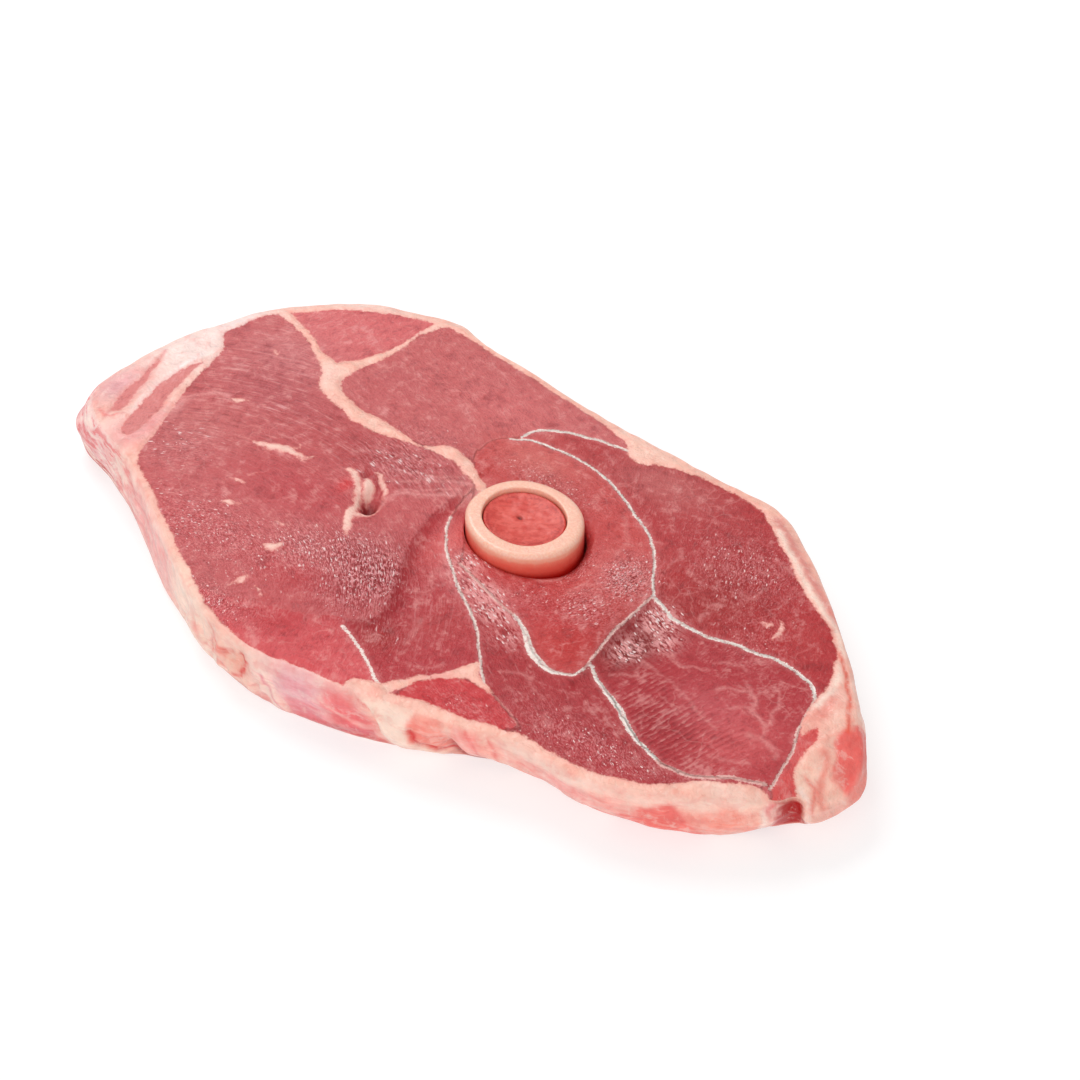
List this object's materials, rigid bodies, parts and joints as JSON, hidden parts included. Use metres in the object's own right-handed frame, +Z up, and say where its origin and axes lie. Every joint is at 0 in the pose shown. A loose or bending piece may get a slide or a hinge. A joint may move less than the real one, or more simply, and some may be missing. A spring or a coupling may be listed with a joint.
{
  "type": "raw lamb leg steak",
  "caption": "Raw bone-in lamb leg steak lying flat: lean muscles in a rim and seams of fat round a sawn bone with its marrow.",
  "frame": {"origin": "middle of the bounding box on the underside, where the steak rests on the table", "axes": "+X along the steak towards its narrow end, +Y across it, +Z up out of the cut face that shows"},
  "size_m": [0.176, 0.097, 0.0164],
  "materials": {
    "lean": "moist raw lean meat, satin to glossy",
    "fat": "raw fat, waxy satin",
    "bone": "sawn bone, satin",
    "marrow": "moist marrow, satin"
  },
  "bodies": {
    "root": {"lean_main": "lean", "lean_back": "lean", "lean_strip_inner": "lean", "lean_strip_outer": "lean", "lean_end": "lean", "fat": "fat", "leg_bone": "bone", "marrow": "marrow"}
  },
  "joints": []
}
